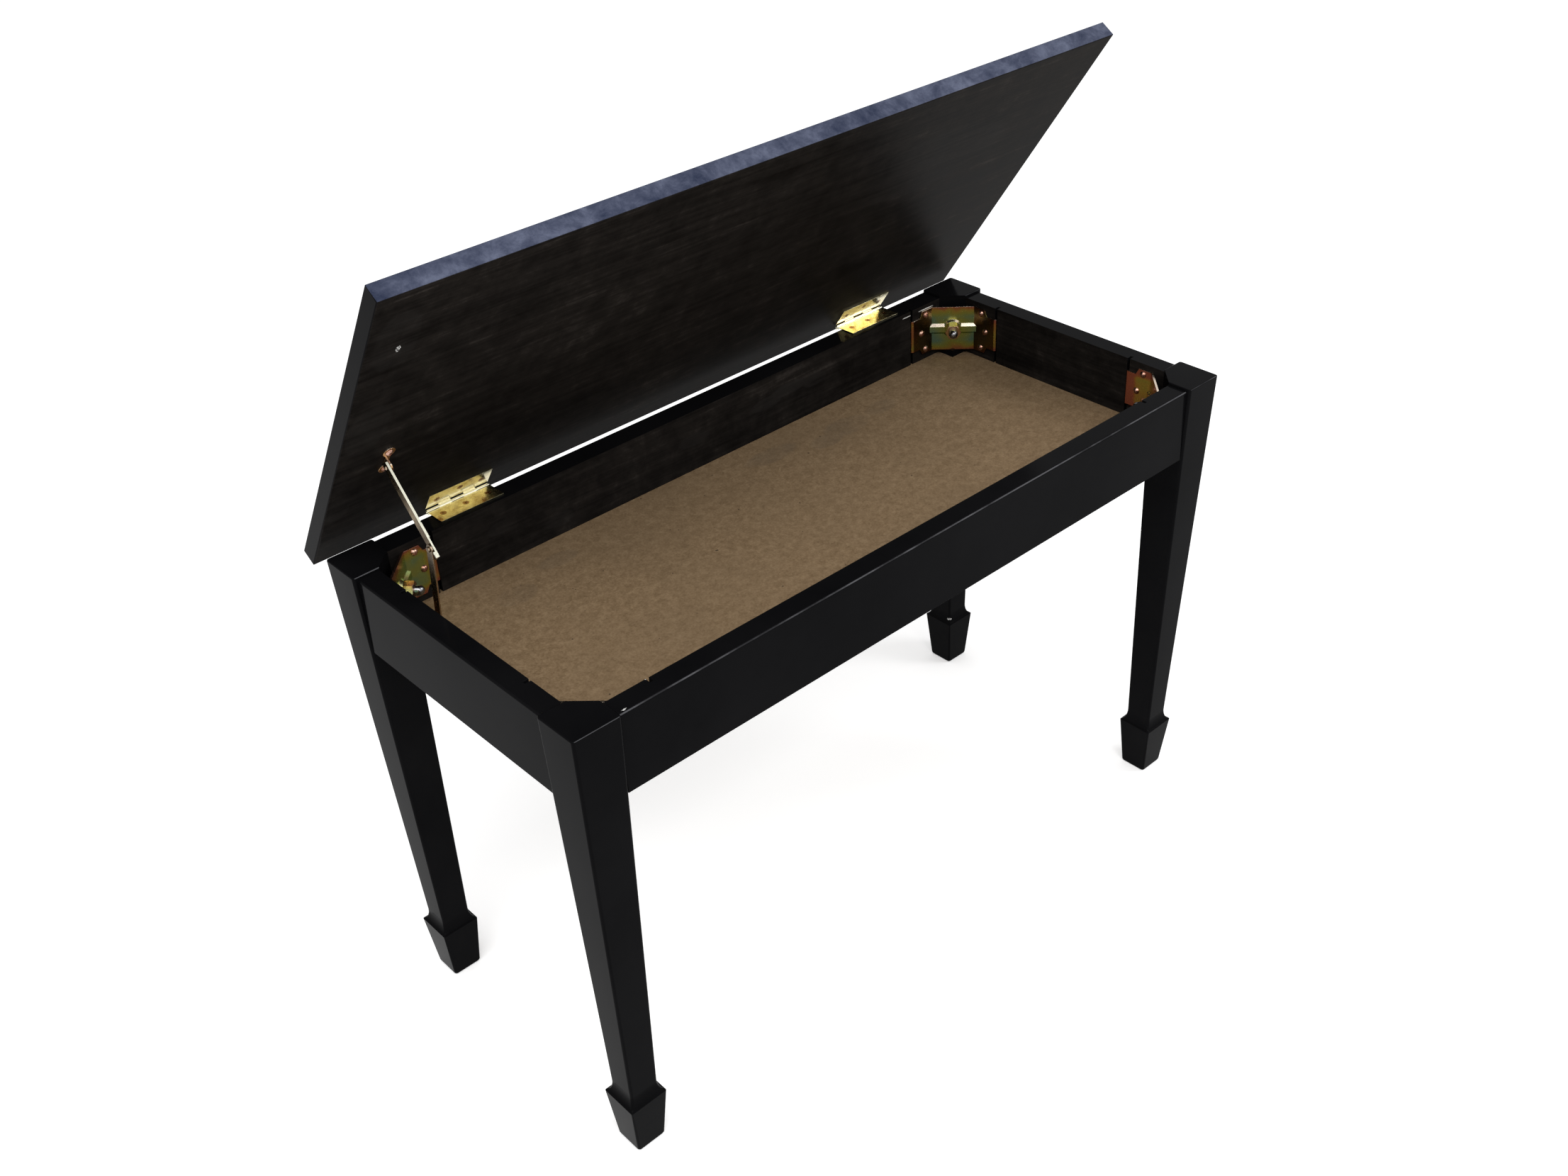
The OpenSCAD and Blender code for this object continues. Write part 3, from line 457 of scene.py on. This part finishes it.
def rail_dust():
    """Dusty patches on the inner face of the rear rail."""
    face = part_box("rear_rail")[0].y
    return [(Vector((x, face, z)), (long, 0.01, 0.010)) for x, z, long in
            ((0.117, 0.441, 0.035), (0.152, 0.438, 0.025), (0.088, 0.436, 0.03),
             (-0.224, 0.437, 0.02), (-0.163, 0.418, 0.025), (-0.004, 0.434, 0.03))]


# ---------------------------------------------------------------- looks of the nodes

BRACKET_FILM = {
    "front_left": {"flange_shade": 0.5},
    "front_right": {"shift": -0.42},
    "rear_left": {"shift": -0.08, "top_highlight": 0.4},
    "rear_right": {"flange_shade": 0.9},
}
PLATE_REACH = 22 * MM                             # from a bracket's corner by the leg to its plate


def bracket_look(corner):
    """Zinc of one corner bracket: redder towards the edges of its plate and out along its lips."""
    low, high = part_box("corner_bracket_" + corner)
    left, front = "left" in corner, "front" in corner
    by_leg = Vector((low.x if left else high.x, low.y if front else high.y, (low.z + high.z) / 2))
    inward = Vector((1 if left else -1, 1 if front else -1, 0)).normalized()
    shape = (by_leg + PLATE_REACH * inward, (high.z - low.z) / 2)
    return yellow_zinc("zinc_" + corner, shape, rim=by_leg, **BRACKET_FILM[corner])


def make_looks():
    """The material of each look."""
    nut_shape = (middle("hex_nuts"), 24 * MM)
    lid_bracket_shape = (middle("stay_lid_bracket"), 20 * MM)
    foot_bracket_shape = (middle("stay_frame_bracket"), 10 * MM)
    looks = {
        "lid_panel": black_lacquer("lid_lacquer", "x", UNDER_LID, lid_scuffs(), lid_dust(),
                                   painted_reflection_side=LID_EDGE, inner_ior=UNDER_LID_IOR),
        "front_rail": black_lacquer("front_rail_lacquer", "x", (0, 1, 0), white_edge_marks("front_rail")),
        "rear_rail": black_lacquer("rear_rail_lacquer", "x", (0, -1, 0), white_edge_marks("rear_rail"),
                                   rail_dust(), broken=0.30),
        "left_rail": black_lacquer("left_rail_lacquer", "y", (1, 0, 0), white_edge_marks("left_rail")),
        "right_rail": black_lacquer("right_rail_lacquer", "y", (-1, 0, 0), white_edge_marks("right_rail")),
        "bottom_panel": hardboard(),
        "hex_nuts": yellow_zinc("nut_zinc", nut_shape, copper=0.75, top_highlight=0.0),
        "hanger_bolts": plated("bright_steel", STEEL, DULL_STEEL, 0.16, 0.3),
        "bracket_screws": plated("screw_copper", SCREW_COPPER, SCREW_BROWN, 0.24, 0.34),
        "hinge_frame_screws": plated("hinge_screw", BRONZE, SCREW_BROWN, 0.16, 0.3),
        "hinge_": plated("hinge_brass", BRASS, DULL_BRASS, 0.12, 0.26, dull_from=0.50, barrel=BARREL_HIGHLIGHT),
        "stay_upper_arm": plated("arm_brass", CREAM, TAN, 0.20, 0.30, dull_from=0.62, web=UPPER_WEB_SHADE),
        "stay_lower_arm": plated("lower_arm_brass", BUFF, TAN, 0.20, 0.30, dull_from=0.60,
                                 web=LOWER_WEB_SHADE),
        "stay_lid_bracket": yellow_zinc("bracket_copper", lid_bracket_shape, copper=0.8),
        "stay_frame_bracket": yellow_zinc("foot_copper", foot_bracket_shape, copper=0.5),
    }
    for corner in CORNERS:
        looks["leg_" + corner] = black_lacquer("leg_lacquer_" + corner, "z", chips=leg_chips(corner))
        looks["corner_bracket_" + corner] = bracket_look(corner)
    looks["hinge_lid_screws"] = looks["hinge_frame_screws"]
    for name in ("stay_lid_screws", "stay_frame_screws"):
        looks[name] = looks["bracket_screws"]
    for name in ("stay_lid_rivet", "stay_elbow_rivet", "stay_foot_rivet"):
        looks[name] = looks["stay_lower_arm"]
    return looks


def look_of(name, looks):
    """The look of a node: its own, or else the first one that its name starts with."""
    if name in looks:
        return looks[name]
    return next(looks[key] for key in looks if name.startswith(key))


# Start of the name of each softened piece: its slot of the record, and the width of its rounding in mm
SOFTENED = {
    "lid_panel": ("black_lacquer", 0.0),
    "front_rail": ("black_lacquer", 0.5),
    "rear_rail": ("black_lacquer", 0.5),
    "left_rail": ("black_lacquer", 0.5),
    "right_rail": ("black_lacquer", 0.5),
    "leg": ("black_lacquer", 0.0),
    "corner_bracket": ("yellow_zinc", 0.3),
    "hex_nuts": ("zinc_hardware", 0.25),
    "hinge_frame_leaf": ("hinge_brass", 0.15),
    "hinge_lid_leaf": ("hinge_brass", 0.15),
    "stay_upper_arm": ("stay_brass", 0.2),
    "stay_lower_arm": ("stay_brass", 0.2),
    "stay_lid_bracket": ("copper_zinc", 0.2),
    "stay_frame_bracket": ("copper_zinc", 0.2),
}


def soften(name, width):
    """A copy of a CAD node that is shown in its stead, smoothly shaded, with its sharp edges rounded.

    Where the width is 0 the edges stay sharp.
    """
    source = nodes[name]
    mesh = source.data.copy()
    work = bmesh.new()
    work.from_mesh(mesh)
    bmesh.ops.remove_doubles(work, verts=work.verts, dist=0.002 * MM)
    bmesh.ops.dissolve_limit(work, angle_limit=math.radians(0.6), verts=work.verts, edges=work.edges)
    work.to_mesh(mesh)
    work.free()
    piece = bpy.data.objects.new(name + "_finish", mesh)
    bpy.context.scene.collection.objects.link(piece)
    mesh.shade_smooth()
    if width:
        bevel = piece.modifiers.new("rounding", "BEVEL")
        bevel.width = width * MM
        bevel.segments = 2
        bevel.limit_method = "ANGLE"
        bevel.angle_limit = math.radians(38)
    else:
        mesh.set_sharp_from_angle(angle=math.radians(34))
    weighted = piece.modifiers.new("shading", "WEIGHTED_NORMAL")
    weighted.keep_sharp = True
    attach(piece, BODY_OF[name])
    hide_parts(name)


def leg_corner(corner):
    """Square inner corner of a leg, where it comes through the board below the bracket."""
    end, side = corner.split("_")
    long_low, long_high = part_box(end + "_rail")
    short_low, short_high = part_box(side + "_rail")
    left, front = side == "left", end == "front"
    x_tip, x_face = (long_low.x, short_high.x) if left else (long_high.x, short_low.x)
    y_tip, y_face = (short_low.y, long_high.y) if front else (short_high.y, long_low.y)
    plan = [(x_tip, y_face), (x_tip, y_tip), (x_face, y_tip)]
    if left == front:
        plan.reverse()
    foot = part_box("bottom_panel")[1].z
    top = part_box("corner_bracket_" + corner)[0].z - 0.2 * MM
    mesh = bpy.data.meshes.new("leg_corner_" + corner)
    mesh.from_pydata([(x, y, z) for z in (foot, top) for x, y in plan], [],
                     [(2, 1, 0), (3, 4, 5), (0, 1, 4, 3), (1, 2, 5, 4), (2, 0, 3, 5)])
    mesh.materials.append(nodes["leg_" + corner].data.materials[0])
    piece = bpy.data.objects.new(mesh.name, mesh)
    bpy.context.scene.collection.objects.link(piece)
    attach(piece, BODY_OF["leg_" + corner])


def dress_frame():
    """Gives every CAD node its material, and rounds the edges of those that need it."""
    looks = make_looks()
    for name, node in nodes.items():
        node.data.materials.clear()
        node.data.materials.append(look_of(name, looks))
        node.data.shade_smooth()
        node.data.set_sharp_from_angle(angle=math.radians(32))
        for key, (slot, width) in SOFTENED.items():
            if name.startswith(key):
                soften(name, width)
    for corner in CORNERS:
        leg_corner(corner)


# ---------------------------------------------------------------- stage

FLOOR_HALF = 8.0
FLOOR_GREY = (0.90, 0.90, 0.90)
FLOOR_GLOW = 0.36
STUDIO_LIGHT = 0.72
LAMP_AIM = (0, 0, 0.4)


def seen_directly(tree):
    """1 for camera, glossy and transmission rays: the rays that show the backdrop."""
    path = tree.nodes.new("ShaderNodeLightPath")
    total = path.outputs["Is Camera Ray"]
    for other in ("Is Glossy Ray", "Is Transmission Ray"):
        node = tree.nodes.new("ShaderNodeMath")
        node.operation = "MAXIMUM"
        tree.links.new(total, node.inputs[0])
        tree.links.new(path.outputs[other], node.inputs[1])
        total = node.outputs[0]
    return total


def make_floor():
    """Pale floor, wide enough to fill every view, a little lit by itself where it is seen."""
    mesh = bpy.data.meshes.new("floor")
    corners = [(-1, -1), (1, -1), (1, 1), (-1, 1)]
    mesh.from_pydata([(x * FLOOR_HALF, y * FLOOR_HALF, 0) for x, y in corners], [], [(0, 1, 2, 3)])
    floor = bpy.data.objects.new("floor", mesh)
    bpy.context.scene.collection.objects.link(floor)
    s = Shader("floor")
    s.set(Base_Color=FLOOR_GREY, Roughness=0.9, Specular_IOR_Level=0.1, Emission_Color=(1, 1, 1),
          Emission_Strength=s.maths("MULTIPLY", seen_directly(s.tree), FLOOR_GLOW))
    mesh.materials.append(s.material)


def make_world():
    """White studio: full white where it is seen, softer as a light."""
    world = bpy.data.worlds.new("studio")
    world.use_nodes = True
    tree = world.node_tree
    background = tree.nodes["Background"]
    background.inputs["Color"].default_value = (1, 1, 1, 1)
    strength = tree.nodes.new("ShaderNodeMapRange")
    tree.links.new(seen_directly(tree), strength.inputs["Value"])
    strength.inputs["To Min"].default_value = STUDIO_LIGHT
    strength.inputs["To Max"].default_value = 1.0
    tree.links.new(strength.outputs["Result"], background.inputs["Strength"])
    bpy.context.scene.world = world


def area_light(name, place, size, watts):
    """A rectangular lamp, aimed at the middle of the bench."""
    data = bpy.data.lights.new(name, "AREA")
    data.shape = "RECTANGLE"
    data.size, data.size_y = size
    data.energy = watts
    lamp = bpy.data.objects.new(name, data)
    lamp.location = place
    lamp.rotation_euler = (Vector(LAMP_AIM) - Vector(place)).to_track_quat("-Z", "Y").to_euler()
    bpy.context.scene.collection.objects.link(lamp)


def make_lights():
    """Large key lamp over the left end, and two smaller ones before the bench."""
    area_light("key", (-1.3, -0.7, 2.6), (1.6, 1.2), 27)
    area_light("side", (1.6, -1.4, 1.9), (0.7, 0.7), 14)
    area_light("front", (-0.5, -1.6, 2.0), (0.35, 0.35), 11)


def make_camera():
    """Camera of the photograph: at the front left, looking down on the open compartment."""
    place = (-0.8466, -0.96071, 1.19325)
    right = Vector((0.73503, -0.67644, -0.04641))
    up = Vector((0.40840, 0.38706, 0.82668))
    back = -Vector((0.54123, 0.62659, -0.56076))
    turn = Matrix((right, up, back)).transposed()
    data = bpy.data.cameras.new("camera")
    data.lens = 38.31
    data.sensor_width = 36
    camera = bpy.data.objects.new("camera", data)
    camera.matrix_world = Matrix.Translation(place) @ turn.to_4x4()
    bpy.context.scene.collection.objects.link(camera)
    bpy.context.scene.camera = camera
    bpy.context.scene.view_settings.view_transform = "Standard"


make_camera()
make_world()
make_floor()
make_lights()
dress_frame()
